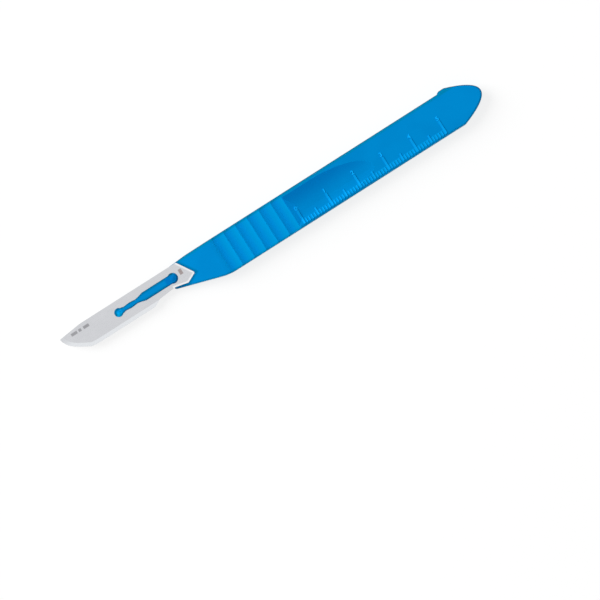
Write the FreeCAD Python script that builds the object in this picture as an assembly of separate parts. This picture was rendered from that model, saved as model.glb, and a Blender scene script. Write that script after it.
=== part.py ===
"""Disposable scalpel: a moulded plastic handle and a ground steel blade staked to it.

Millimetres, +Z up. The scalpel lies on the back of its handle, blade tip towards -X and
spine towards +Y. The origin is the bottom centre of the whole object's box.
"""
import FreeCAD
import Part

import math
import os

Vector = FreeCAD.Vector

# Layout. X stations are measured from the heel point, where the blade ends on the handle,
# positive towards the butt. Y is measured from the centreline of the handle.
BLADE_LENGTH = 45.0
HANDLE_LENGTH = 101.3

# Handle body
HANDLE_WIDTH = 12.1
HANDLE_THICKNESS = 4.2
EDGE_RADIUS = 0.6
BELLY_CORNER_X = 8.45
BELLY_CORNER_RADIUS = 16.0
BELLY_ANGLE = 17.1

# Nose, the thinner front of the handle that holds the heel of the blade
NOSE_LENGTH = 7.7
NOSE_TOP_DROP = 0.5
NOSE_TOP_BEND_RADIUS = 20.0
NOSE_CORNER_RADIUS = 0.7
NOSE_BACK_LIFT = 0.9
NOSE_WALL_RISE = 0.3
RAMP_END_X = -3.3
RAMP_BLEND_RADIUS = 8.0

# Butt end, rounded as a parabola and slightly flared on the spine side
FLARE_HEIGHT = 0.57
FLARE_LENGTH = 11.9
FLARE_STEP_RUN = 0.8
FLARE_STEP_RADIUS = 0.7
SHOULDER_LENGTH = 9.2

# Finger grip: shallow scallops with a narrow land between two
RIB_START_X = 9.2
RIB_COUNT = 6
RIB_PITCH = 4.15
RIB_DEPTH = 0.32
RIB_LAND = 0.2

# Thumb rest: a trough that ends as a bowl. Its floor is lowest at REST_LOW_Y and rises from
# there to the plain face all round, and by a short slope to the last rib.
REST_OVERLAP = 0.5
REST_STRAIGHT = 9.1
REST_END_LENGTH = 19.1
REST_RIM = 1.03
REST_FOOT = 0.85
REST_LOW_Y = -1.8
REST_DEPTH = 0.65
REST_SLOPE_LENGTH = 4.5
REST_SLOPE_SPARE = 0.05

# Ruler, in true millimetres, raised along the belly side
RULER_OFFSET = 1.5
RULER_LENGTH = 50.0
RULER_PITCH = 1.0
RULER_MEDIUM_STEP = 5
RULER_LONG_STEP = 10
RULER_MARGIN = 0.1
TICK_HEIGHT = 0.15
FINE_TICK = (1.45, 0.35)
MEDIUM_TICK = (2.5, 0.5)
LONG_TICK = (4.45, 0.7)

# Blade. Drops are measured down from the spine, setbacks from the heel point to the tip.
BLADE_THICKNESS = 0.4
BLADE_WIDTH = 7.9
SPINE_INSET = 0.4
TIP_DROP = 0.9
TIP_SLOPE_LENGTH = 7.5
TIP_SLOPE_RADIUS = 20.0
BELLY_LENGTH = 11.1
BELLY_SHAPE = ((0.09, 0.35), (0.30, 0.65), (0.57, 0.90))
TIP_LEAN = 0.15
BEVEL_WIDTH = 1.15
EDGE_END_SETBACK = 15.6
EDGE_END_RADIUS = 0.5
CHOIL_SETBACK = 13.2
CHOIL_DROP = 6.65
CHOIL_RADIUS = 1.2
WAIST_SETBACK = 7.55
WAIST_DROP = 6.15
WAIST_RADIUS = 2.0
HEEL_CORNER_SETBACK = 3.3
HEEL_CORNER_DROP = 7.1
HEEL_CORNER_RADIUS = 0.45
HEEL_POINT_DROP = 5.5
HEEL_POINT_RADIUS = 0.45
SPINE_END_SETBACK = 3.4
SPINE_END_RADIUS = 0.3
HEEL_PLAY = 0.1

# Slot in the blade, the boss that fills it, and the cap and two heads staked over the blade
SLOT_DROP = 3.47
SLOT_PLAY = 0.05
SLOT_NECK_HALF = 0.62
SLOT_WIDE_HALF = 1.1
SLOT_SHOULDER_RADIUS = 0.6
FRONT_STAKE_SETBACK = 25.75
REAR_STAKE_SETBACK = 6.65
NECK_END_SETBACK = 18.3
WIDE_START_SETBACK = 16.8
CAP_NECK_HALF = 0.93
CAP_WIDE_HALF = 1.36
CAP_RISE = 0.5
CAP_EDGE_RADIUS = 0.42
BEAD_SETBACK = 21.6
BEAD_HALF_LENGTH = 2.1
BEAD_RADIUS = 8.0
PINCH_RADIUS = 1.2
PINCH_DEPTH = 0.24
FRONT_STAKE_RADIUS = 1.38
REAR_STAKE_RADIUS = 1.65
STAKE_HEIGHT = 0.65

# Tongue, the strip behind the blade that carries the boss
TONGUE_FRONT_HALF = 1.9
TONGUE_REAR_HALF = 2.4
TONGUE_END_RADIUS = 1.7
TONGUE_EDGE_RADIUS = 0.3

# Worked out from the sizes above
HALF_WIDTH = HANDLE_WIDTH / 2
SEAT_Z = HANDLE_THICKNESS / 2
BLADE_TOP_Z = SEAT_Z + BLADE_THICKNESS
NOSE_FRONT_Z = BLADE_TOP_Z + NOSE_WALL_RISE
SPINE_Y = HALF_WIDTH - SPINE_INSET
EDGE_Y = SPINE_Y - BLADE_WIDTH
SLOT_Y = SPINE_Y - SLOT_DROP
RIB_END_X = RIB_START_X + RIB_COUNT * RIB_PITCH
REST_START_X = RIB_END_X - REST_OVERLAP
REST_BEND_X = RIB_END_X + REST_STRAIGHT
REST_END_X = REST_BEND_X + REST_END_LENGTH
HEEL_X = (BLADE_LENGTH - HANDLE_LENGTH) / 2
CENTRELINE_Y = -FLARE_HEIGHT / 2

# Room by which a cutter passes the face that it cuts
OVERCUT = 2.0
TOLERANCE = 1e-6

# A face whose normal rises less than this counts as upright
UPRIGHT_LIMIT = 0.5


def plan(x, y):
    """Point in the plan of the scalpel."""
    return Vector(x, y, 0)


def add_line(edges, start, end):
    """Straight edge, left out where two arcs already meet."""
    if (end - start).Length > TOLERANCE:
        edges.append(Part.LineSegment(start, end).toShape())


def rounded_path(corners):
    """Edges from the first corner to the last, each (x, y, radius) between them rounded."""
    points = [plan(x, y) for x, y, radius in corners]
    edges = []
    start = points[0]
    for before, corner, after, (x, y, radius) in zip(points, points[1:], points[2:], corners[1:]):
        inward = (corner - before).normalize()
        outward = (after - corner).normalize()
        half_turn = inward.getAngle(outward) / 2
        reach = radius * math.tan(half_turn)
        entry = corner - inward * reach
        leave = corner + outward * reach
        to_centre = (outward - inward).normalize()
        middle = corner + to_centre * (radius / math.cos(half_turn) - radius)
        add_line(edges, start, entry)
        if radius > TOLERANCE:
            edges.append(Part.Arc(entry, middle, leave).toShape())
        start = leave
    add_line(edges, start, points[-1])
    return edges


def rounded_loop(corners):
    """Edges of a closed outline with each (x, y, radius) corner rounded."""
    first, second = corners[0], corners[1]
    middle = ((first[0] + second[0]) / 2, (first[1] + second[1]) / 2, 0)
    return rounded_path([middle] + corners[1:] + [first, middle])


def grown(corners, distance):
    """Counter-clockwise corners moved outwards so that every side moves by distance."""
    result = []
    for index, (x, y, radius) in enumerate(corners):
        corner = plan(x, y)
        before = plan(*corners[index - 1][:2])
        after = plan(*corners[(index + 1) % len(corners)][:2])
        inward = (corner - before).normalize()
        outward = (after - corner).normalize()
        normal_in = plan(inward.y, -inward.x)
        normal_out = plan(outward.y, -outward.x)
        shift = (normal_in + normal_out) * (distance / (1 + normal_in.dot(normal_out)))
        convex = inward.cross(outward).z > 0
        new_radius = max(radius + (distance if convex else -distance), 0)
        result.append((x + shift.x, y + shift.y, new_radius))
    return result


def face_of(edges):
    """Flat face inside a closed run of edges."""
    return Part.Face(Part.Wire(Part.__sortEdges__(edges)))


def prism(edges, bottom, top):
    """Upright solid over a plan outline."""
    face = face_of(edges)
    face.translate(Vector(0, 0, bottom))
    return face.extrude(Vector(0, 0, top - bottom))


def stand_up(edges):
    """Plan edges turned so that their Y becomes Z."""
    wire = Part.Wire(Part.__sortEdges__(edges))
    wire.rotate(Vector(0, 0, 0), Vector(1, 0, 0), 90)
    return wire


def both_faces(shape):
    """A cutter for the front of the handle and its mirror image for the back."""
    return [shape, shape.mirror(Vector(0, 0, HANDLE_THICKNESS / 2), Vector(0, 0, 1))]


def butt_curve(upper, lower):
    """Parabola round the end of the handle from the upper shoulder to the lower one."""
    pole = plan(2 * HANDLE_LENGTH - upper.x, (upper.y + lower.y) / 2)
    curve = Part.BezierCurve()
    curve.setPoles([upper, pole, lower])
    return curve.toShape()


def handle_outline():
    """Plan outline of the handle body and its nose."""
    nose_low = -HALF_WIDTH + (BELLY_CORNER_X + NOSE_LENGTH) * math.tan(math.radians(BELLY_ANGLE))
    flare_y = HALF_WIDTH + FLARE_HEIGHT
    flare_x = HANDLE_LENGTH - FLARE_LENGTH
    upper = plan(HANDLE_LENGTH - SHOULDER_LENGTH, flare_y)
    lower = plan(HANDLE_LENGTH - SHOULDER_LENGTH, -HALF_WIDTH)
    edges = rounded_path([
        (lower.x, lower.y, 0),
        (BELLY_CORNER_X, -HALF_WIDTH, BELLY_CORNER_RADIUS),
        (-NOSE_LENGTH, nose_low, NOSE_CORNER_RADIUS),
        (-NOSE_LENGTH, HALF_WIDTH - NOSE_TOP_DROP, NOSE_CORNER_RADIUS),
        (0, HALF_WIDTH, NOSE_TOP_BEND_RADIUS),
        (flare_x, HALF_WIDTH, FLARE_STEP_RADIUS),
        (flare_x + FLARE_STEP_RUN, flare_y, FLARE_STEP_RADIUS),
        (upper.x, upper.y, 0),
    ])
    edges.append(butt_curve(upper, lower))
    return edges


def handle_side():
    """Side profile of the handle: full thickness, then ramps down to the thin nose."""
    front = -NOSE_LENGTH - OVERCUT
    rear = HANDLE_LENGTH + OVERCUT
    edges = rounded_path([
        (rear, 0, 0),
        (BELLY_CORNER_X, 0, RAMP_BLEND_RADIUS),
        (RAMP_END_X, NOSE_BACK_LIFT, RAMP_BLEND_RADIUS),
        (front, NOSE_BACK_LIFT, 0),
        (front, NOSE_FRONT_Z, 0),
        (RAMP_END_X, NOSE_FRONT_Z, RAMP_BLEND_RADIUS),
        (BELLY_CORNER_X, HANDLE_THICKNESS, RAMP_BLEND_RADIUS),
        (rear, HANDLE_THICKNESS, 0),
        (rear, 0, 0),
    ])
    face = Part.Face(stand_up(edges))
    face.translate(Vector(0, HANDLE_WIDTH, 0))
    return face.extrude(Vector(0, -2 * HANDLE_WIDTH, 0))


def rim_edges(body):
    """Edges where an upright wall of the body meets its front or its back."""
    rims = []
    for edge in body.Edges:
        steep = []
        for face in body.ancestorsOfType(edge, Part.Face):
            u0, u1, v0, v1 = face.ParameterRange
            steep.append(abs(face.normalAt((u0 + u1) / 2, (v0 + v1) / 2).z) < UPRIGHT_LIMIT)
        if True in steep and False in steep:
            rims.append(edge)
    return rims


def handle_body():
    """Moulded body with rounded rims, before the grip and the seat are cut."""
    body = prism(handle_outline(), 0, HANDLE_THICKNESS).common(handle_side())
    body = body.Solids[0]
    return body.makeFillet(EDGE_RADIUS, rim_edges(body))


def along(edges):
    """Cutter right across the handle, from plan edges taken as its side view."""
    face = Part.Face(stand_up(edges))
    face.translate(Vector(0, HANDLE_WIDTH, 0))
    return face.extrude(Vector(0, -2 * HANDLE_WIDTH, 0))


def rib_cutters():
    """One scallop of the finger grip for each rib, on both faces."""
    top = HANDLE_THICKNESS
    above = HANDLE_THICKNESS + OVERCUT
    cutters = []
    for index in range(RIB_COUNT):
        left = RIB_START_X + index * RIB_PITCH + RIB_LAND
        right = RIB_START_X + (index + 1) * RIB_PITCH
        lowest = plan((left + right) / 2, top - RIB_DEPTH)
        edges = [Part.Arc(plan(left, top), lowest, plan(right, top)).toShape()]
        add_line(edges, plan(right, top), plan(right, above))
        add_line(edges, plan(right, above), plan(left, above))
        add_line(edges, plan(left, above), plan(left, top))
        cutters += both_faces(along(edges))
    return cutters


def level_curve(side, lowest):
    """Parabola from a side point to the lowest point of a floor, where it runs level."""
    curve = Part.BezierCurve()
    curve.setPoles([side, plan((side.x + lowest.x) / 2, lowest.y), lowest])
    return curve.toShape()


def rest_floor(end_x, end_rise, side_y):
    """Room over one patch of the floor, from its lowest line to a side and from the bend to end_x.

    The floor rises as a parabola to the plain face at side_y, and by end_rise at end_x.
    """
    lowest = HANDLE_THICKNESS - REST_DEPTH
    x_poles = ((REST_BEND_X, 0), ((REST_BEND_X + end_x) / 2, 0), (end_x, end_rise))
    y_poles = ((REST_LOW_Y, 0), ((REST_LOW_Y + side_y) / 2, 0), (side_y, REST_DEPTH))
    surface = Part.BezierSurface()
    surface.increase(len(x_poles) - 1, len(y_poles) - 1)
    for row, (x, rise_x) in enumerate(x_poles, 1):
        for column, (y, rise_y) in enumerate(y_poles, 1):
            surface.setPole(row, column, Vector(x, y, lowest + rise_x + rise_y))
    return surface.toShape().extrude(Vector(0, 0, REST_DEPTH + OVERCUT))


def rest_slope():
    """Room over the hollow slope by which the thumb rest starts behind the last rib."""
    top = HANDLE_THICKNESS
    above = HANDLE_THICKNESS + OVERCUT
    lowest = plan(REST_START_X + REST_SLOPE_LENGTH, top - REST_DEPTH - REST_SLOPE_SPARE)
    rear_x = REST_END_X + OVERCUT
    edges = [level_curve(plan(REST_START_X, top), lowest)]
    add_line(edges, lowest, plan(rear_x, lowest.y))
    add_line(edges, plan(rear_x, lowest.y), plan(rear_x, above))
    add_line(edges, plan(rear_x, above), plan(REST_START_X, above))
    add_line(edges, plan(REST_START_X, above), plan(REST_START_X, top))
    return along(edges)


def thumb_rest_cutter():
    """Whole room of the thumb rest on the front face."""
    sides = [-HALF_WIDTH + REST_FOOT, HALF_WIDTH - REST_RIM]
    troughs = [rest_floor(REST_START_X, 0, side_y) for side_y in sides]
    bowls = [rest_floor(REST_END_X, REST_DEPTH, side_y) for side_y in sides]
    return troughs[0].fuse(troughs[1:] + bowls).common(rest_slope()).removeSplitter()


def ruler_ticks(rest_cutter):
    """Raised graduation lines, longer at each fifth and tenth, that follow the thumb rest."""
    foot_y = -HALF_WIDTH + EDGE_RADIUS + RULER_MARGIN
    bottom = HANDLE_THICKNESS - REST_DEPTH - TICK_HEIGHT
    top = HANDLE_THICKNESS + TICK_HEIGHT
    count = math.floor(RULER_LENGTH / RULER_PITCH + TOLERANCE) + 1
    room = rest_cutter.translated(Vector(0, 0, TICK_HEIGHT))
    ticks = []
    for index in range(count):
        length, width = FINE_TICK
        if index % RULER_MEDIUM_STEP == 0:
            length, width = MEDIUM_TICK
        if index % RULER_LONG_STEP == 0:
            length, width = LONG_TICK
        x = RIB_END_X + RULER_OFFSET + index * RULER_PITCH
        tick = Part.makeBox(width, length, top - bottom, Vector(x - width / 2, foot_y, bottom))
        ticks.append(tick.cut(room))
    return ticks


def heel_corners():
    """Corners of the blade's heel from the waist to the heel point."""
    return [
        (-WAIST_SETBACK, SPINE_Y - WAIST_DROP, WAIST_RADIUS),
        (-HEEL_CORNER_SETBACK, SPINE_Y - HEEL_CORNER_DROP, HEEL_CORNER_RADIUS),
        (0, SPINE_Y - HEEL_POINT_DROP, HEEL_POINT_RADIUS),
    ]


def seat_cutter():
    """Recess for the heel of the blade, open towards the tip and the spine."""
    front_x = -NOSE_LENGTH - OVERCUT
    top_y = HALF_WIDTH + OVERCUT
    waist, heel_corner, heel_point = heel_corners()
    lean = SPINE_END_SETBACK / HEEL_POINT_DROP
    wall_top_x = -(top_y - heel_point[1]) * lean
    corners = [
        (front_x, waist[1], 0),
        waist,
        heel_corner,
        heel_point,
        (wall_top_x, top_y, 0),
        (front_x, top_y, 0),
    ]
    return prism(rounded_loop(grown(corners, HEEL_PLAY)), SEAT_Z, HANDLE_THICKNESS + OVERCUT)


def tongue():
    """Strip behind the blade, running from inside the nose to just past the front stake."""
    front_x = -FRONT_STAKE_SETBACK - TONGUE_FRONT_HALF
    rear_x = -REAR_STAKE_SETBACK
    outline = rounded_loop([
        (rear_x, SLOT_Y - TONGUE_REAR_HALF, 0),
        (rear_x, SLOT_Y + TONGUE_REAR_HALF, 0),
        (front_x, SLOT_Y + TONGUE_FRONT_HALF, TONGUE_END_RADIUS),
        (front_x, SLOT_Y - TONGUE_FRONT_HALF, TONGUE_END_RADIUS),
    ])
    strip = prism(outline, NOSE_BACK_LIFT, SEAT_Z)
    lower = [edge for edge in strip.Edges if edge.BoundBox.ZMax < NOSE_BACK_LIFT + TOLERANCE]
    return strip.makeFillet(TONGUE_EDGE_RADIUS, [edge for edge in lower if edge.BoundBox.XMax < rear_x])


def slot_corners(neck_half, wide_half):
    """Outline shaped as the slot: a wide rear part with a round end and a narrow front part."""
    rear_x = -REAR_STAKE_SETBACK + wide_half
    front_x = -FRONT_STAKE_SETBACK - neck_half
    return [
        (rear_x, SLOT_Y - wide_half, wide_half),
        (rear_x, SLOT_Y + wide_half, wide_half),
        (-WIDE_START_SETBACK, SLOT_Y + wide_half, SLOT_SHOULDER_RADIUS),
        (-NECK_END_SETBACK, SLOT_Y + neck_half, SLOT_SHOULDER_RADIUS),
        (front_x, SLOT_Y + neck_half, neck_half),
        (front_x, SLOT_Y - neck_half, neck_half),
        (-NECK_END_SETBACK, SLOT_Y - neck_half, SLOT_SHOULDER_RADIUS),
        (-WIDE_START_SETBACK, SLOT_Y - wide_half, SLOT_SHOULDER_RADIUS),
    ]


def cap_corners():
    """Outline of the cap: the slot's, wider, with a bead between two pinches on the neck."""
    corners = slot_corners(CAP_NECK_HALF, CAP_WIDE_HALF)
    pinch = CAP_NECK_HALF - PINCH_DEPTH
    bead = [
        (-BEAD_SETBACK + BEAD_HALF_LENGTH, pinch, PINCH_RADIUS),
        (-BEAD_SETBACK, CAP_NECK_HALF, BEAD_RADIUS),
        (-BEAD_SETBACK - BEAD_HALF_LENGTH, pinch, PINCH_RADIUS),
        (-FRONT_STAKE_SETBACK + FRONT_STAKE_RADIUS, CAP_NECK_HALF, PINCH_RADIUS),
    ]
    upper = [(x, SLOT_Y + half, radius) for x, half, radius in bead]
    lower = [(x, SLOT_Y - half, radius) for x, half, radius in reversed(bead)]
    return corners[:4] + upper + corners[4:6] + lower + corners[6:]


def stake_head(setback, radius):
    """Domed head pressed down over the blade at one end of the slot."""
    ball_radius = (radius ** 2 + STAKE_HEIGHT ** 2) / (2 * STAKE_HEIGHT)
    centre = Vector(-setback, SLOT_Y, BLADE_TOP_Z + STAKE_HEIGHT - ball_radius)
    ball = Part.makeSphere(ball_radius, centre)
    corner = Vector(-setback - radius, SLOT_Y - radius, BLADE_TOP_Z)
    return ball.common(Part.makeBox(2 * radius, 2 * radius, 2 * STAKE_HEIGHT, corner))


def boss():
    """Boss through the slot, a play smaller all round, with the cap and heads over the blade."""
    inside = grown(slot_corners(SLOT_NECK_HALF, SLOT_WIDE_HALF), -SLOT_PLAY)
    top = BLADE_TOP_Z + CAP_RISE
    post = prism(rounded_loop(inside), SEAT_Z - BLADE_THICKNESS, BLADE_TOP_Z + CAP_RISE / 2)
    cap = prism(rounded_loop(cap_corners()), BLADE_TOP_Z, top)
    cap = cap.makeFillet(CAP_EDGE_RADIUS, [edge for edge in cap.Edges if edge.BoundBox.ZMin > top - TOLERANCE])
    front = stake_head(FRONT_STAKE_SETBACK, FRONT_STAKE_RADIUS)
    rear = stake_head(REAR_STAKE_SETBACK, REAR_STAKE_RADIUS)
    return [post, cap, front, rear]


def handle():
    """Whole handle, one moulding."""
    rest_cutter = thumb_rest_cutter()
    body = handle_body()
    body = body.cut(rib_cutters() + both_faces(rest_cutter) + [seat_cutter()])
    body = body.fuse([tongue()] + boss() + ruler_ticks(rest_cutter))
    return body.removeSplitter()


def edge_points(inset):
    """Points of the belly of the cutting edge from the tip to its straight part, moved in."""
    tip = plan(-BLADE_LENGTH, SPINE_Y - TIP_DROP)
    drop = tip.y - EDGE_Y
    points = [tip]
    points += [plan(tip.x + BELLY_LENGTH * along, tip.y - drop * down) for along, down in BELLY_SHAPE]
    points.append(plan(tip.x + BELLY_LENGTH, EDGE_Y))
    curve = belly_curve(points)
    moved = []
    for point in points:
        tangent = curve.tangent(curve.parameter(point))[0]
        moved.append(point + plan(-tangent.y, tangent.x) * inset)
    return moved


def belly_curve(points):
    """Smooth belly that leaves the tip steeply and runs level into the straight edge."""
    curve = Part.BSplineCurve()
    curve.interpolate(
        Points=points,
        InitialTangent=Vector(TIP_LEAN, -1, 0),
        FinalTangent=Vector(1, 0, 0),
    )
    return curve


def blade_outline():
    """Plan outline of the blade."""
    points = edge_points(0)
    tip, level = points[0], points[-1]
    edges = rounded_path([
        (level.x, level.y, 0),
        (-EDGE_END_SETBACK, EDGE_Y, EDGE_END_RADIUS),
        (-CHOIL_SETBACK, SPINE_Y - CHOIL_DROP, CHOIL_RADIUS),
        *heel_corners(),
        (-SPINE_END_SETBACK, SPINE_Y, SPINE_END_RADIUS),
        (tip.x + TIP_SLOPE_LENGTH, SPINE_Y, TIP_SLOPE_RADIUS),
        (tip.x, tip.y, 0),
    ])
    edges.append(belly_curve(points).toShape())
    return edges


def grind_wire(inset, z):
    """Outline of the room inside the grind, moved in along the belly and the edge."""
    points = edge_points(inset)
    tip, level = points[0], points[-1]
    away = Vector(TIP_LEAN, -1, 0).normalize()
    start = tip - away * BLADE_WIDTH
    grind_end = -(CHOIL_SETBACK + WAIST_SETBACK) / 2
    loop = [
        level,
        plan(grind_end, level.y),
        plan(grind_end, EDGE_Y - OVERCUT),
        plan(OVERCUT, EDGE_Y - OVERCUT),
        plan(OVERCUT, start.y),
        start,
        tip,
    ]
    edges = [belly_curve(points).toShape()]
    for a, b in zip(loop, loop[1:]):
        add_line(edges, a, b)
    wire = Part.Wire(edges)
    wire.translate(Vector(0, 0, z))
    return wire


def blade():
    """Stamped blade with its slot, ground from both sides to one edge."""
    plate = prism(blade_outline(), SEAT_Z, BLADE_TOP_Z)
    slot = rounded_loop(slot_corners(SLOT_NECK_HALF, SLOT_WIDE_HALF))
    plate = plate.cut(prism(slot, SEAT_Z, BLADE_TOP_Z))
    middle = SEAT_Z + BLADE_THICKNESS / 2
    front = Part.makeLoft([grind_wire(0, middle), grind_wire(BEVEL_WIDTH, BLADE_TOP_Z)], True, True)
    back = Part.makeLoft([grind_wire(0, middle), grind_wire(BEVEL_WIDTH, SEAT_Z)], True, True)
    return plate.common(front.fuse(back)).removeSplitter()


def export(name, shape):
    """Move a finished piece into the frame of the object and write it."""
    shape.translate(Vector(HEEL_X, CENTRELINE_Y, 0))
    piece = shape.Solids[0] if len(shape.Solids) == 1 else shape
    box = piece.optimalBoundingBox()
    print(name, "solids", len(shape.Solids), "valid", piece.isValid(), "volume", round(piece.Volume, 3))
    print("  X", round(box.XMin, 3), round(box.XMax, 3))
    print("  Y", round(box.YMin, 3), round(box.YMax, 3))
    print("  Z", round(box.ZMin, 3), round(box.ZMax, 3))
    piece.exportStep("parts/" + name + ".step")


os.makedirs("parts", exist_ok=True)
export("handle", handle())
export("blade", blade())
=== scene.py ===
"""Looks of the disposable scalpel: materials, ruler numerals, floor, light and camera.

Metres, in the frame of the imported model: blade tip towards -X, spine towards +Y, +Z up.
"""

import math

import bpy
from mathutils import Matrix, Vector
from mathutils.bvhtree import BVHTree


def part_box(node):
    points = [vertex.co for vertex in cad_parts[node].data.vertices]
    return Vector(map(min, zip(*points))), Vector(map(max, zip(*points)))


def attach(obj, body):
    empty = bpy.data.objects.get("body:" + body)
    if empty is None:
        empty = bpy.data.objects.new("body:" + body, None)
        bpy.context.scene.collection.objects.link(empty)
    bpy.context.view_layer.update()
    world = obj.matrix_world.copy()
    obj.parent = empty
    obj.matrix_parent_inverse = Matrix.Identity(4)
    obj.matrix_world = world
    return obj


MM = 0.001

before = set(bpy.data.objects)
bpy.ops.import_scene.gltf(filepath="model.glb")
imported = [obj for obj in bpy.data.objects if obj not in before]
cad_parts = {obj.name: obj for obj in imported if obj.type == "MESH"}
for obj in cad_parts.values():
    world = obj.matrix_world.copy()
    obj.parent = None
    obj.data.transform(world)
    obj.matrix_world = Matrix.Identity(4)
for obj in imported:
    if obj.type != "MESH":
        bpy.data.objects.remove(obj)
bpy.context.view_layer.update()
handle_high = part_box("handle")[1]
blade_low, blade_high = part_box("blade")

# Main stations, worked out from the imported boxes
TICK_HEIGHT = 0.15 * MM
BLADE_LENGTH = 45.0 * MM
FACE_Z = handle_high.z - TICK_HEIGHT
MIDDLE_Z = FACE_Z / 2
BLADE_MIDDLE_Z = (blade_low.z + blade_high.z) / 2
HEEL_X = blade_low.x + BLADE_LENGTH
SPINE_Y = blade_high.y
CENTRELINE_Y = SPINE_Y - 5.65 * MM

# Grip, thumb rest and edges of the handle: where each tone of painted light and shade starts and ends
GRIP_X = (HEEL_X + 9.2 * MM, HEEL_X + 33.7 * MM)
REST_X = (HEEL_X + 33.7 * MM, HEEL_X + 62.4 * MM)
REST_Y = (CENTRELINE_Y - 1.8 * MM, CENTRELINE_Y + 4.8 * MM)
SUNK_DEPTH = 0.03 * MM
SPINE_EDGE_Y = (CENTRELINE_Y + 5.0 * MM, CENTRELINE_Y + 5.55 * MM)
GRIP_EDGE_Y = (CENTRELINE_Y - 5.8 * MM, CENTRELINE_Y - 5.2 * MM)

# Boss: its ends and heads, half the width of its lit top in front of and behind its waist, and the
# fade of the painted shade on its flanks
BOSS_Y = SPINE_Y - 3.47 * MM
BOSS_END_X = HEEL_X - 4.8 * MM
FRONT_HEAD_X = HEEL_X - 24.3 * MM
REAR_HEAD_X = HEEL_X - 8.6 * MM
HEAD_FADE = 1 * MM
BOSS_WAIST_X = (HEEL_X - 18.3 * MM, HEEL_X - 16.8 * MM)
BOSS_TOP_HALF = (0.25 * MM, 0.50 * MM)
BOSS_SIDE_SHADE_FADE = 0.35 * MM

# Ruler: first line, foot of the lines, and pitch, length, width and tone of each kind of line
RULER_X = HEEL_X + 35.6 * MM
RULER_FOOT_Y = CENTRELINE_Y - 5.35 * MM
RULER_LENGTH = 50 * MM
RULER_MARGIN = 0.5 * MM
FINE_LINES = (1 * MM, 1.45 * MM, 0.35 * MM, 1.0)
MEDIUM_LINES = (5 * MM, 2.5 * MM, 0.5 * MM, 0.85)
LONG_LINES = (10 * MM, 4.45 * MM, 0.7 * MM, 0.6)
NUMERAL_STEP = LONG_LINES[0]

# Raised numerals of the ruler
NUMERAL_Y = CENTRELINE_Y - 0.64 * MM
NUMERAL_SIZE = 1.7 * MM
NUMERAL_RELIEF = 0.11 * MM
NUMERAL_WEIGHT = 0.08 * MM
NUMERAL_CURVE_STEPS = 6

# Light band between the ruler's fine lines, fainter where they cross the thumb rest
BAND_CENTRE = (RULER_X + RULER_LENGTH / 2, CENTRELINE_Y - 4.52 * MM)
BAND_SIZE = (RULER_LENGTH + 2 * RULER_MARGIN, 1.8 * MM)
BAND_EDGE = 0.4 * MM
BAND_FADE_X = (RULER_X + 10 * MM, RULER_X + 32 * MM)
BAND_SHARES = (0.2, 0.55)

# Outline of the blade's heel from its waist to the spine, measured from the heel and the spine
HEEL_OUTLINE = ((-7.55 * MM, -6.15 * MM), (-3.3 * MM, -7.1 * MM), (0.0, -5.5 * MM), (-3.4 * MM, 0.0))
HEEL_AREA_X = (HEEL_X - 8 * MM, HEEL_X + 1 * MM)

# Fades of the painted highlight inside the heel's outline and of the painted shade along the seat
# edge outside it
HEEL_HIGHLIGHT_FADE = (0.25 * MM, 0.75 * MM)
SEAT_SHADE_FADE = (-1.15 * MM, -0.2 * MM)

# Etched bars near the tip of the blade: centre from the tip, and length
TIP_BARS = ((4.6 * MM, 2.3 * MM), (6.6 * MM, 1.2 * MM), (8.8 * MM, 2.2 * MM))
TIP_BAR_Y = SPINE_Y - 1.65 * MM
TIP_BAR_HEIGHT = 1.15 * MM

# Etched patch near the heel, and the hatching of all etched marks
PATCH_CENTRE = (HEEL_X - 3.6 * MM, SPINE_Y - 3.05 * MM)
PATCH_SIZE = (1.3 * MM, 2.0 * MM)
MARK_EDGE = 0.25 * MM
HATCH_HALF_PITCH = 0.11 * MM
HATCH_FADE = (0.03 * MM, 0.08 * MM)
HATCH_SHARES = (0.55, 1.0)

# Where the painted highlight of the bevel at the tip fades towards the grey of the blade's face
TIP_SHADE_Y = (SPINE_Y - 4.4 * MM, SPINE_Y - 1.4 * MM)

# Upward part of the normal, without its sign, on each kind of face
LEVEL_FACING = 0.8
SIDE_FACING = 0.3
WALL_FACING = (0.05, 0.35)
RIM_FACING = (0.60, 0.998)
BOSS_RIM_FACING = (0.88, 0.998)
BEVEL_FACING = (0.90, 0.9995)

# Lean of the normal towards the butt, the spine or the lamp between which a tone of painted light and
# shade changes
RIB_LEAN = (-0.15, 0.15)
REST_SLOPE_LEAN = (0.02, 0.25)
FRONT_HEAD_LEAN = (-0.5, 0.3)
RIM_SHADE_LEAN = (0.0, 0.4)
RIM_LIGHT_LEAN = (-0.9, -0.2)
BOSS_RIM_LEAN = (-0.4, 0.3)
WALL_LEAN = (-0.5, 0.5)

# Share that each tone takes where it is strongest
GRIP_SHARE = 0.6
REST_SLOPE_SHARE = 0.5
GRIP_EDGE_SHARE = 0.8
RIM_SHARE = 0.95
BOSS_RIM_SHARES = (0.3, 0.95)
FRONT_HEAD_RIM_SHARE = 0.85
SEAT_SHADE_SHARE = 0.5
STREAK_SHARE = 0.5
BLOTCH_SHARE = 0.10
TIP_SHADE_SHARE = 0.7
HEEL_HIGHLIGHT_SHARE = 0.9
MARK_SHARE = 0.66

# Noises: size of the blotches, detail, and how many times longer they are along each axis
CLOUDS = (9 * MM, 2.0)
PLASTIC_GRAIN = (0.16 * MM, 3.0)
BLOTCHES = (6 * MM, 2.0)
ROLLED_GRAIN = (0.10 * MM, 4.0, (30.0, 1.0, 1.0))
GROUND_GRAIN = (0.07 * MM, 3.0, (1.0, 18.0, 1.0))
SOFT_SPREAD = (0.3, 0.7)
GRAIN_SPREAD = (0.25, 0.75)
TWO_GRAINS_SPREAD = (0.6, 1.4)

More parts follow.
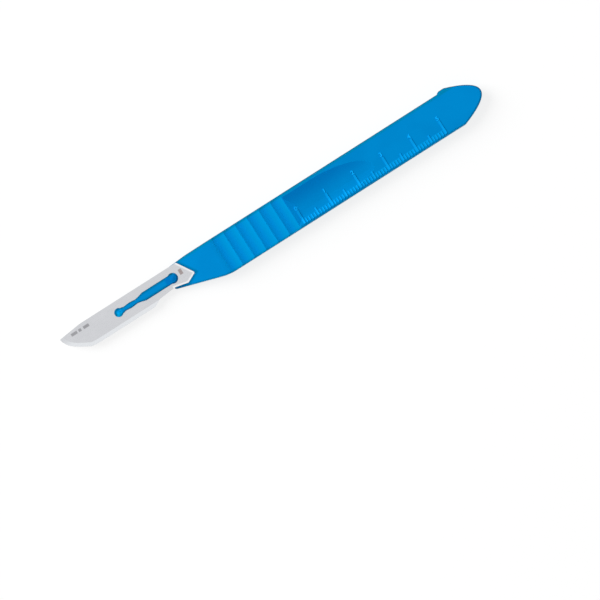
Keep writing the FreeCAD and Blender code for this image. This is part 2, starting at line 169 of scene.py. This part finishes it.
# Relief and gloss of the two materials
PLASTIC_GRAIN_HEIGHT = 0.006 * MM
PLASTIC_EDGE_RADIUS = 0.08 * MM
PLASTIC_ROUGHNESS = (0.34, 0.44)
PLASTIC_SPECULAR = 0.15
SEAM_HALF_WIDTH = (0.04 * MM, 0.10 * MM)
SEAM_HEIGHT = 0.05 * MM
STEEL_GRAIN_HEIGHT = 0.003 * MM
STEEL_EDGE_RADIUS = 0.03 * MM
STEEL_ROUGHNESS = (0.22, 0.30)
MARK_ROUGHNESS = 0.3
SOFT_EDGE_SAMPLES = 6

# Sockets of a mix node that take the factor and the two colours, and the one that gives the colour
MIX_INPUTS = (0, 6, 7)
MIX_OUTPUT = 2

# Colours as they should look, in sRGB
HANDLE_BLUE = (0.0, 0.525, 0.797)
CLOUD_BLUE = (0.0, 0.505, 0.775)
# Painted shade on the rounded rims
RIM_SHADE_BLUE = (0.0, 0.535, 0.735)
# Painted shade in strips along the spine and along the ribs' other edge
EDGE_SHADE_BLUE = (0.0, 0.500, 0.690)
# Painted light on walls and rims, on the side away from the lamp
PAINTED_LIGHT_BLUE = (0.0, 0.730, 0.970)
SHADE_BLUE = (0.0, 0.320, 0.420)
# Painted shade on the boss's flanks
BOSS_SIDE_SHADE_BLUE = (0.0, 0.460, 0.680)
# Front head, with painted light on its side away from the lamp, then the darker rear head
FRONT_HEAD_BLUE = (0.0, 0.540, 0.840)
FRONT_HEAD_LIGHT_BLUE = (0.0, 0.720, 0.980)
REAR_HEAD_BLUE = (0.0, 0.450, 0.745)
# Painted light on the ribs' slopes towards the tip, then on slopes towards the butt and on the thumb
# rest's first slope
TIPWARD_RIB_LIGHT_BLUE = (0.0, 0.575, 0.815)
BUTTWARD_SLOPE_LIGHT_BLUE = (0.0, 0.560, 0.885)
# Painted shade in the thumb rest
REST_SHADE_BLUE = (0.0, 0.455, 0.745)
LINE_BLUE = (0.030, 0.620, 0.920)
BAND_BLUE = (0.0, 0.640, 0.895)
NUMERAL_BLUE = (0.045, 0.660, 0.960)
GLOSS_BLUE = (0.100, 0.720, 0.95)
BLADE_GREY = (0.803, 0.808, 0.823)
STREAK_GREY = (0.862, 0.867, 0.879)
BLOTCH_GREY = (0.72, 0.73, 0.75)
# Painted highlight on the ground bevels
BEVEL_HIGHLIGHT_GREY = (0.893, 0.905, 0.920)
# Painted highlight round the heel
HEEL_HIGHLIGHT_GREY = (0.955, 0.960, 0.970)
ETCH_GREY = (0.330, 0.320, 0.340)
PATCH_BROWN = (0.420, 0.200, 0.020)
WHITE = (1.0, 1.0, 1.0)

# Studio: floor, key light from the spine side of the tip, and world
FLOOR_REACH = 2.0
FLOOR_SHARE = 0.19
FLOOR_ROUGHNESS = 0.9
KEY_DIRECTION = (-0.70, 0.71)
KEY_ELEVATION = math.radians(34.0)
KEY_DISTANCE = 4.0
KEY_SIZE = 3.04
KEY_POWER = 223.0
WORLD_STRENGTH = 0.38

# Picture: its width and middle, where the frame's origin lies in it, its scale and its turn
IMAGE_WIDTH = 600
IMAGE_MIDDLE = IMAGE_WIDTH / 2
ORIGIN_PIXEL = (274.1, 221.0)
PIXELS_PER_METRE = 3350.0
PICTURE_TURN = math.radians(32.47)
LENS = 135.0


def linear(colour):
    """Linear RGBA of a colour written in sRGB."""
    parts = [c / 12.92 if c <= 0.04045 else ((c + 0.055) / 1.055) ** 2.4 for c in colour]
    return (*parts, 1.0)


class Nodes:
    """Short forms for building one material's node tree."""

    def __init__(self, name):
        self.material = bpy.data.materials.new(name)
        self.material.use_nodes = True
        self.tree = self.material.node_tree
        self.shader = self.tree.nodes["Principled BSDF"]
        self.place = self.node("ShaderNodeTexCoord").outputs["Object"]

    def node(self, kind, **settings):
        made = self.tree.nodes.new(kind)
        for key, value in settings.items():
            setattr(made, key, value)
        return made

    def join(self, source, target):
        """Link a socket to another, or set the other to a number or colour."""
        if hasattr(source, "is_output"):
            self.tree.links.new(source, target)
        else:
            target.default_value = source

    def put(self, name, value):
        self.join(value, self.shader.inputs[name])

    def math(self, operation, first, second=0.0, third=0.0):
        made = self.node("ShaderNodeMath", operation=operation)
        for socket, value in zip(made.inputs, (first, second, third)):
            self.join(value, socket)
        return made.outputs[0]

    def times(self, first, *others):
        """Product of several values."""
        product = first
        for other in others:
            product = self.math("MULTIPLY", product, other)
        return product

    def within(self, value, low, high):
        """1 where value lies between low and high, else 0."""
        return self.times(self.math("GREATER_THAN", value, low), self.math("LESS_THAN", value, high))

    def ramp(self, value, low, high, out_low=0.0, out_high=1.0):
        """Smooth change from out_low to out_high as value rises from low to high."""
        made = self.node("ShaderNodeMapRange", interpolation_type="SMOOTHSTEP")
        for socket, number in zip(made.inputs, (value, low, high, out_low, out_high)):
            self.join(number, socket)
        return made.outputs[0]

    def axes(self, vector):
        made = self.node("ShaderNodeSeparateXYZ")
        self.join(vector, made.inputs[0])
        return made.outputs

    def noise(self, size, detail, stretch=(1.0, 1.0, 1.0)):
        """Noise whose blotches are about size metres across, longer along an axis by stretch."""
        scaled = self.node("ShaderNodeMapping", vector_type="POINT")
        self.join(self.place, scaled.inputs["Vector"])
        scaled.inputs["Scale"].default_value = [1.0 / (size * s) for s in stretch]
        made = self.node("ShaderNodeTexNoise", noise_dimensions="3D")
        self.join(scaled.outputs["Vector"], made.inputs["Vector"])
        made.inputs["Scale"].default_value = 1.0
        made.inputs["Detail"].default_value = detail
        return made.outputs[0]

    def mix(self, factor, first, second):
        """First colour where factor is 0, second where it is 1."""
        made = self.node("ShaderNodeMix", data_type="RGBA")
        for index, value in zip(MIX_INPUTS, (factor, first, second)):
            self.join(value, made.inputs[index])
        return made.outputs[MIX_OUTPUT]

    def shades(self, factor, first, second):
        """Mix of two colours written in sRGB."""
        return self.mix(factor, linear(first), linear(second))

    def paint(self, tone, colour, factor):
        """Tone with a colour written in sRGB laid over it."""
        return self.mix(factor, tone, linear(colour))

    def bump(self, height, distance, normal=None):
        made = self.node("ShaderNodeBump")
        made.inputs["Strength"].default_value = 1.0
        made.inputs["Distance"].default_value = distance
        self.join(height, made.inputs["Height"])
        if normal:
            self.join(normal, made.inputs["Normal"])
        return made.outputs[0]

    def soft_edges(self, radius):
        """Normal that rounds sharp edges by radius."""
        made = self.node("ShaderNodeBevel", samples=SOFT_EDGE_SAMPLES)
        made.inputs["Radius"].default_value = radius
        return made.outputs[0]


class Surface:
    """Place and normal of each point of a surface, as sockets."""

    def __init__(self, n):
        self.x, self.y, self.z = n.axes(n.place)
        normal = n.node("ShaderNodeNewGeometry").outputs["Normal"]
        self.to_butt, self.to_spine, self.to_front = n.axes(normal)
        self.upright = n.math("ABSOLUTE", self.to_front)


def soft_box(n, at, centre, size, edge):
    """Mask of a plan rectangle with edges that fade over a distance."""
    inside = []
    for place, middle, reach in zip((at.x, at.y), centre, size):
        off = n.math("ABSOLUTE", n.math("SUBTRACT", place, middle))
        inside.append(n.ramp(off, reach / 2 - edge, reach / 2, 1.0, 0.0))
    return n.times(*inside)


def heel_depth(n, at):
    """Distance inside the edges of the blade's heel, negative outside them."""
    inside = 1.0
    for (ax, ay), (bx, by) in zip(HEEL_OUTLINE, HEEL_OUTLINE[1:]):
        length = math.hypot(bx - ax, by - ay)
        across_x, across_y = (ay - by) / length, (bx - ax) / length
        start = across_x * (HEEL_X + ax) + across_y * (SPINE_Y + ay)
        part_y = n.math("MULTIPLY_ADD", at.y, across_y, -start)
        inside = n.math("MINIMUM", inside, n.math("MULTIPLY_ADD", at.x, across_x, part_y))
    return inside


def ruler_lines(n, at):
    """Tone of the ruler's raised lines in the plan of the handle, 0 beside them."""
    along = n.math("SUBTRACT", at.x, RULER_X)
    above = n.math("SUBTRACT", at.y, RULER_FOOT_Y)
    lines = 0.0
    for pitch, length, width, tone in (FINE_LINES, MEDIUM_LINES, LONG_LINES):
        near = n.math("LESS_THAN", n.math("PINGPONG", along, pitch / 2), width / 2)
        line = n.times(near, n.within(above, 0.0, length), tone)
        lines = n.math("MAXIMUM", lines, line)
    return n.times(lines, n.within(along, -RULER_MARGIN, RULER_LENGTH + RULER_MARGIN))


def from_middle(n, at):
    """Distance of a point from the middle of the handle's thickness."""
    return n.math("ABSOLUTE", n.math("SUBTRACT", at.z, MIDDLE_Z))


def toward_lamp(n, at):
    """How far the normal leans towards the lamp, which stands beyond the spine and the tip."""
    return n.math("SUBTRACT", at.to_spine, at.to_butt)


def sunk_faces(n, at):
    """Mask of the level faces that lie below the plain face."""
    level = n.math("GREATER_THAN", at.upright, LEVEL_FACING)
    depth = n.math("SUBTRACT", MIDDLE_Z, from_middle(n, at))
    return n.times(level, n.ramp(depth, 0.0, SUNK_DEPTH))


def paint_grip(n, at, tone, grip):
    """Ribs in painted light, with a tone of their own on each of their two slopes."""
    ribs = n.shades(n.ramp(at.to_butt, *RIB_LEAN), TIPWARD_RIB_LIGHT_BLUE, BUTTWARD_SLOPE_LIGHT_BLUE)
    return n.mix(n.times(grip, GRIP_SHARE), tone, ribs)


def paint_rest(n, at, tone, rest):
    """Thumb rest in painted shade that darkens towards the spine, with painted light on the slope it
    starts with.
    """
    tone = n.paint(tone, REST_SHADE_BLUE, n.times(rest, n.ramp(at.y, *REST_Y)))
    slope = n.times(rest, n.ramp(at.to_butt, *REST_SLOPE_LEAN))
    return n.paint(tone, BUTTWARD_SLOPE_LIGHT_BLUE, n.times(slope, REST_SLOPE_SHARE))


def paint_boss(n, at, tone, on_boss, on_front_head):
    """Boss: painted shade on the flanks beside its top, a light front head with painted light on its
    side away from the lamp, and a darker rear head.
    """
    off_line = n.math("ABSOLUTE", n.math("SUBTRACT", at.y, BOSS_Y))
    off_top = n.math("SUBTRACT", off_line, n.ramp(at.x, *BOSS_WAIST_X, *BOSS_TOP_HALF))
    tone = n.paint(tone, BOSS_SIDE_SHADE_BLUE, n.times(on_boss, n.ramp(off_top, 0.0, BOSS_SIDE_SHADE_FADE)))
    lean = n.ramp(at.to_spine, *FRONT_HEAD_LEAN)
    tone = n.mix(on_front_head, tone, n.shades(lean, FRONT_HEAD_LIGHT_BLUE, FRONT_HEAD_BLUE))
    on_rear_head = n.times(on_boss, n.ramp(at.x, REAR_HEAD_X - HEAD_FADE, REAR_HEAD_X))
    return n.paint(tone, REAR_HEAD_BLUE, on_rear_head)


def paint_edges(n, at, tone, grip):
    """Painted shade in darker strips along the spine and along the other edge of the ribs."""
    tone = n.paint(tone, EDGE_SHADE_BLUE, n.ramp(at.y, *SPINE_EDGE_Y))
    grip_edge = n.times(grip, n.ramp(at.y, *GRIP_EDGE_Y, GRIP_EDGE_SHARE, 0.0))
    return n.paint(tone, EDGE_SHADE_BLUE, grip_edge)


def paint_rim(n, at, tone, on_boss):
    """Painted shade on the rounded rim of the moulding, darkest towards the spine, and painted light
    on its other side.
    """
    rim = n.shades(n.ramp(at.to_spine, *RIM_SHADE_LEAN), RIM_SHADE_BLUE, SHADE_BLUE)
    rim = n.paint(rim, PAINTED_LIGHT_BLUE, n.ramp(at.to_spine, *RIM_LIGHT_LEAN, 1.0, 0.0))
    rounding = n.ramp(at.upright, *RIM_FACING, 1.0, 0.0)
    off_boss = n.math("SUBTRACT", 1.0, on_boss)
    return n.mix(n.times(rounding, RIM_SHARE, off_boss), tone, rim)


def paint_boss_rim(n, at, tone, on_boss, on_front_head):
    """Painted shade on the rounded rim of the boss, darkest where it leans towards the lamp, less on
    the front head.
    """
    lean = toward_lamp(n, at)
    shade = n.shades(n.ramp(lean, *RIM_SHADE_LEAN), RIM_SHADE_BLUE, SHADE_BLUE)
    rounding = n.ramp(at.upright, *BOSS_RIM_FACING, 1.0, 0.0)
    strength = n.ramp(lean, *BOSS_RIM_LEAN, *BOSS_RIM_SHARES)
    head_share = n.ramp(on_front_head, 0.0, 1.0, 1.0, FRONT_HEAD_RIM_SHARE)
    return n.mix(n.times(rounding, strength, head_share, on_boss), tone, shade)


def paint_walls(n, at, tone):
    """Upright side walls in painted light, lighter on the side away from the lamp."""
    wall = n.shades(n.ramp(toward_lamp(n, at), *WALL_LEAN), PAINTED_LIGHT_BLUE, HANDLE_BLUE)
    return n.mix(n.ramp(at.upright, *WALL_FACING, 1.0, 0.0), tone, wall)


def paint_seat_edge(n, at, tone):
    """Painted shade in a dark line on the handle beside the heel of the blade, in the corner of its
    seat.
    """
    depth = heel_depth(n, at)
    near = n.ramp(depth, *SEAT_SHADE_FADE)
    outside = n.math("LESS_THAN", depth, 0.0)
    edge = n.times(near, outside, n.within(at.x, *HEEL_AREA_X))
    return n.paint(tone, SHADE_BLUE, n.times(edge, SEAT_SHADE_SHARE))


def paint_ruler(n, at, tone):
    """Ruler on the front: the light band between its fine lines, then the lines."""
    front = n.math("GREATER_THAN", at.to_front, LEVEL_FACING)
    band = n.times(soft_box(n, at, BAND_CENTRE, BAND_SIZE, BAND_EDGE), front)
    tone = n.paint(tone, BAND_BLUE, n.times(band, n.ramp(at.x, *BAND_FADE_X, *BAND_SHARES)))
    return n.paint(tone, LINE_BLUE, n.times(ruler_lines(n, at), front))


def handle_tone(n, at):
    """Colour of the moulding: faint clouds, then the painted light and shade of each feature laid
    over the ones before it, and the ruler last.
    """
    sunk = sunk_faces(n, at)
    grip = n.times(sunk, n.within(at.x, *GRIP_X))
    rest = n.times(sunk, n.within(at.x, *REST_X))
    on_boss = n.math("LESS_THAN", at.x, BOSS_END_X)
    on_front_head = n.ramp(at.x, FRONT_HEAD_X - HEAD_FADE, FRONT_HEAD_X, 1.0, 0.0)
    tone = n.shades(n.ramp(n.noise(*CLOUDS), *SOFT_SPREAD), HANDLE_BLUE, CLOUD_BLUE)
    tone = paint_grip(n, at, tone, grip)
    tone = paint_rest(n, at, tone, rest)
    tone = paint_boss(n, at, tone, on_boss, on_front_head)
    tone = paint_edges(n, at, tone, grip)
    tone = paint_rim(n, at, tone, on_boss)
    tone = paint_boss_rim(n, at, tone, on_boss, on_front_head)
    tone = paint_walls(n, at, tone)
    tone = paint_seat_edge(n, at, tone)
    return paint_ruler(n, at, tone)


def satin_gloss(n, grain):
    """Satin gloss shared by all of the plastic."""
    n.put("Roughness", n.ramp(grain, *SOFT_SPREAD, *PLASTIC_ROUGHNESS))
    n.put("Specular IOR Level", PLASTIC_SPECULAR)
    n.put("Specular Tint", linear(GLOSS_BLUE))


def parting_line(n, at):
    """Mask of the parting line that runs round the side walls at half the thickness."""
    side = n.math("LESS_THAN", at.upright, SIDE_FACING)
    return n.times(side, n.ramp(from_middle(n, at), *SEAM_HALF_WIDTH, 1.0, 0.0))


def handle_plastic():
    """Blue moulded plastic with painted light and shade in its colour, a fine spark-eroded grain and
    a parting line round its edge.
    """
    n = Nodes("handle_plastic")
    at = Surface(n)
    n.put("Base Color", handle_tone(n, at))
    grain = n.noise(*PLASTIC_GRAIN)
    satin_gloss(n, grain)
    fine = n.bump(grain, PLASTIC_GRAIN_HEIGHT, n.soft_edges(PLASTIC_EDGE_RADIUS))
    n.put("Normal", n.bump(parting_line(n, at), SEAM_HEIGHT, fine))
    return n.material


def numeral_plastic():
    """Pale blue of the raised numerals."""
    n = Nodes("numeral_plastic")
    n.put("Base Color", linear(NUMERAL_BLUE))
    grain = n.noise(*PLASTIC_GRAIN)
    satin_gloss(n, grain)
    n.put("Normal", n.bump(grain, PLASTIC_GRAIN_HEIGHT))
    return n.material


def etched_marks(n, at):
    """Strength of the plain hatched marks on the front: bars near the tip and a patch at the heel."""
    marks = soft_box(n, at, PATCH_CENTRE, PATCH_SIZE, MARK_EDGE)
    for centre, length in TIP_BARS:
        bar_centre = (blade_low.x + centre, TIP_BAR_Y)
        bar = soft_box(n, at, bar_centre, (length, TIP_BAR_HEIGHT), MARK_EDGE)
        marks = n.math("MAXIMUM", marks, bar)
    hatch = n.math("PINGPONG", n.math("ADD", at.x, at.y), HATCH_HALF_PITCH)
    hatched = n.times(marks, n.ramp(hatch, *HATCH_FADE, *HATCH_SHARES))
    return n.times(hatched, MARK_SHARE, n.math("GREATER_THAN", at.z, BLADE_MIDDLE_Z))


def face_tone(n, rolled):
    """Grey of the blade's faces, with rolled streaks and faint blotches."""
    face = n.shades(n.ramp(rolled, *GRAIN_SPREAD, 0.0, STREAK_SHARE), BLADE_GREY, STREAK_GREY)
    blotches = n.ramp(n.noise(*BLOTCHES), *SOFT_SPREAD, 0.0, BLOTCH_SHARE)
    return n.paint(face, BLOTCH_GREY, blotches)


def bevel_tone(n, at, ground):
    """Ground bevels in a brighter grey as a painted highlight, with crosswise streaks, darker towards
    the spine where it fades to the face's grey.
    """
    edge = n.shades(n.ramp(ground, *GRAIN_SPREAD, 0.0, STREAK_SHARE), BEVEL_HIGHLIGHT_GREY, STREAK_GREY)
    return n.paint(edge, BLADE_GREY, n.ramp(at.y, *TIP_SHADE_Y, 0.0, TIP_SHADE_SHARE))


def blade_steel():
    """Rolled steel with ground bevels in a painted highlight, a painted highlight round the heel and
    plain etched marks.
    """
    n = Nodes("blade_steel")
    at = Surface(n)
    rolled = n.noise(*ROLLED_GRAIN)
    ground = n.noise(*GROUND_GRAIN)
    bevel = n.within(at.upright, *BEVEL_FACING)
    on_heel = n.math("GREATER_THAN", at.x, HEEL_AREA_X[0])
    marks = etched_marks(n, at)

    steel = n.mix(bevel, face_tone(n, rolled), bevel_tone(n, at, ground))
    # Painted highlight along the edges of the heel
    heel_highlight = n.ramp(heel_depth(n, at), *HEEL_HIGHLIGHT_FADE, HEEL_HIGHLIGHT_SHARE, 0.0)
    steel = n.paint(steel, HEEL_HIGHLIGHT_GREY, n.times(heel_highlight, on_heel))
    n.put("Base Color", n.mix(marks, steel, n.shades(on_heel, ETCH_GREY, PATCH_BROWN)))
    n.put("Metallic", 1.0)

    rough = n.ramp(n.math("ADD", rolled, ground), *TWO_GRAINS_SPREAD, *STEEL_ROUGHNESS)
    n.put("Roughness", n.math("ADD", rough, n.times(marks, MARK_ROUGHNESS)))
    face_grain = n.times(rolled, n.math("SUBTRACT", 1.0, bevel))
    grain = n.math("ADD", face_grain, n.times(ground, bevel))
    n.put("Normal", n.bump(grain, STEEL_GRAIN_HEIGHT, n.soft_edges(STEEL_EDGE_RADIUS)))
    return n.material


def add_object(name, data):
    """New object in the scene."""
    made = bpy.data.objects.new(name, data)
    bpy.context.scene.collection.objects.link(made)
    return made


def set_material(piece, material):
    """Give every slot of a piece one material."""
    piece.data.materials.clear()
    piece.data.materials.append(material)


def digit_mesh(digit):
    """Mesh of one thick digit, centred on its foot."""
    curve = bpy.data.curves.new("ruler_numeral_" + str(digit), "FONT")
    curve.body = str(digit)
    curve.size = NUMERAL_SIZE
    curve.extrude = NUMERAL_RELIEF
    curve.offset = NUMERAL_WEIGHT
    curve.align_x = "CENTER"
    curve.resolution_u = NUMERAL_CURVE_STEPS
    draft = add_object("draft", curve)
    bpy.context.view_layer.update()
    mesh = bpy.data.meshes.new_from_object(draft.evaluated_get(bpy.context.evaluated_depsgraph_get()))
    bpy.data.objects.remove(draft)
    return mesh


def numeral(digit, material, ground):
    """One raised numeral above its long ruler line, laid onto the surface below it."""
    mesh = digit_mesh(digit)
    for vertex in mesh.vertices:
        x = vertex.co.x + RULER_X + digit * NUMERAL_STEP
        y = vertex.co.y + NUMERAL_Y
        hit = ground.ray_cast(Vector((x, y, 2 * FACE_Z)), Vector((0, 0, -1)))[0]
        vertex.co = (x, y, hit.z + vertex.co.z)
    piece = add_object("ruler_numeral_" + str(digit), mesh)
    set_material(piece, material)
    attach(piece, "root")


def numerals():
    """Numerals of the ruler, one for each long line."""
    material = numeral_plastic()
    ground = BVHTree.FromObject(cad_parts["handle"], bpy.context.evaluated_depsgraph_get())
    for digit in range(round(RULER_LENGTH / NUMERAL_STEP) + 1):
        numeral(digit, material, ground)


def floor():
    """Large floor that looks white to the camera and in gloss, and keeps a soft shadow.

    It reflects a share of the light and gives off the rest itself.
    """
    corners = [(-FLOOR_REACH, -FLOOR_REACH, 0), (FLOOR_REACH, -FLOOR_REACH, 0),
               (FLOOR_REACH, FLOOR_REACH, 0), (-FLOOR_REACH, FLOOR_REACH, 0)]
    mesh = bpy.data.meshes.new("floor")
    mesh.from_pydata(corners, [], [(0, 1, 2, 3)])
    piece = add_object("floor", mesh)
    n = Nodes("floor")
    n.put("Base Color", (FLOOR_SHARE, FLOOR_SHARE, FLOOR_SHARE, 1.0))
    n.put("Roughness", FLOOR_ROUGHNESS)
    n.put("Specular IOR Level", 0.0)
    path = n.node("ShaderNodeLightPath")
    seen = n.math("MAXIMUM", path.outputs["Is Camera Ray"], path.outputs["Is Glossy Ray"])
    n.put("Emission Color", linear(WHITE))
    n.put("Emission Strength", n.times(seen, 1.0 - FLOOR_SHARE))
    piece.data.materials.append(n.material)


def key_light():
    """Square soft light that looks at the object and isn't mirrored in it."""
    light = bpy.data.lights.new("key", "AREA")
    light.shape = "SQUARE"
    light.size = KEY_SIZE
    light.energy = KEY_POWER
    lamp = add_object("key", light)
    lamp.visible_glossy = False
    plan = Vector((*KEY_DIRECTION, 0)).normalized() * math.cos(KEY_ELEVATION)
    toward = Vector((plan.x, plan.y, math.sin(KEY_ELEVATION)))
    lamp.location = toward * KEY_DISTANCE
    lamp.rotation_euler = toward.to_track_quat("Z", "Y").to_euler()


def surroundings():
    """Even white world, at full strength only to the camera and in gloss."""
    world = bpy.data.worlds.new("studio")
    bpy.context.scene.world = world
    world.use_nodes = True
    tree = world.node_tree
    background = tree.nodes["Background"]
    background.inputs["Color"].default_value = linear(WHITE)
    path = tree.nodes.new("ShaderNodeLightPath")
    seen = tree.nodes.new("ShaderNodeMath")
    seen.operation = "MAXIMUM"
    tree.links.new(path.outputs["Is Camera Ray"], seen.inputs[0])
    tree.links.new(path.outputs["Is Glossy Ray"], seen.inputs[1])
    level = tree.nodes.new("ShaderNodeMapRange")
    tree.links.new(seen.outputs[0], level.inputs["Value"])
    level.inputs["To Min"].default_value = WORLD_STRENGTH
    level.inputs["To Max"].default_value = 1.0
    tree.links.new(level.outputs[0], background.inputs["Strength"])


def camera():
    """Long lens looking straight down, turned so that the handle rises to the right."""
    right = Vector((math.cos(PICTURE_TURN), -math.sin(PICTURE_TURN), 0))
    up = Vector((math.sin(PICTURE_TURN), math.cos(PICTURE_TURN), 0))
    origin_right = (ORIGIN_PIXEL[0] - IMAGE_MIDDLE) / PIXELS_PER_METRE
    origin_up = (IMAGE_MIDDLE - ORIGIN_PIXEL[1]) / PIXELS_PER_METRE
    aim = -right * origin_right - up * origin_up
    data = bpy.data.cameras.new("camera")
    data.lens = LENS
    distance = IMAGE_WIDTH / PIXELS_PER_METRE * LENS / data.sensor_width
    eye = add_object("camera", data)
    eye.location = (aim.x, aim.y, FACE_Z + distance)
    eye.rotation_euler = (0, 0, -PICTURE_TURN)
    bpy.context.scene.camera = eye


set_material(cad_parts["handle"], handle_plastic())
set_material(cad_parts["blade"], blade_steel())
numerals()
floor()
key_light()
surroundings()
camera()
bpy.context.scene.view_settings.view_transform = "Standard"
